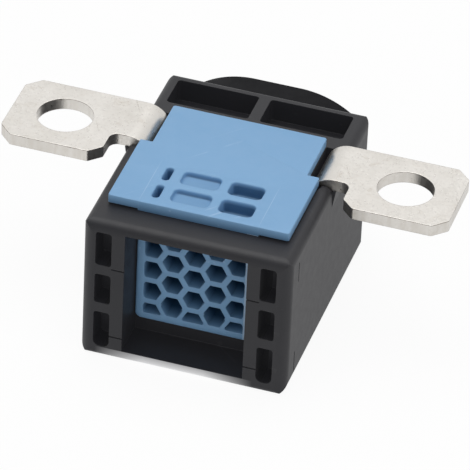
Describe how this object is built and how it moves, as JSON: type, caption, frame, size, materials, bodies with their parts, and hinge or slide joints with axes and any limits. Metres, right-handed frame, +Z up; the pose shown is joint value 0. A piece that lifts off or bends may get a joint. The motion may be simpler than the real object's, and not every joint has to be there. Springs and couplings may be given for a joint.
{
  "type": "battery disconnect fuse",
  "caption": "Battery disconnect fuse: moulded housing, cored cover plate over a honeycomb gas vent, plated busbar tabs with stud holes at both sides and an igniter socket at the back.",
  "frame": {"origin": "bottom centre of the bounding box, midway between the stud holes in plan", "axes": "+X along the busbar, +Y from the honeycomb vent to the igniter socket, +Z up through the cover plate"},
  "size_m": [0.0922, 0.0602, 0.034],
  "materials": {
    "black_polyamide": "moulded satin",
    "blue_polyamide": "moulded satin",
    "plated_copper": "nickel plated, slightly pitted",
    "steel_zinc": "zinc plated",
    "seal_rubber": "matt",
    "charge": "pressed powder",
    "header_glass": "fused",
    "pin_gold": "gold flashed",
    "socket_plastic": "moulded satin"
  },
  "bodies": {
    "root": {"housing": "black_polyamide", "vent_cover": "blue_polyamide", "arc_chamber": "black_polyamide", "busbar": "plated_copper", "rear_cover": "black_polyamide", "piston": "black_polyamide", "piston_seal": "seal_rubber", "rear_cover_seal": "seal_rubber", "igniter_cup": "steel_zinc", "igniter_charge": "charge", "igniter_header": "steel_zinc", "igniter_glass": "header_glass", "igniter_pin_left": "pin_gold", "igniter_pin_right": "pin_gold", "igniter_body": "black_polyamide", "igniter_seal": "seal_rubber", "socket_insert": "socket_plastic", "shorting_clip": "pin_gold", "rear_screw_1": "steel_zinc", "rear_screw_2": "steel_zinc", "rear_screw_3": "steel_zinc", "rear_screw_4": "steel_zinc"}
  },
  "joints": []
}
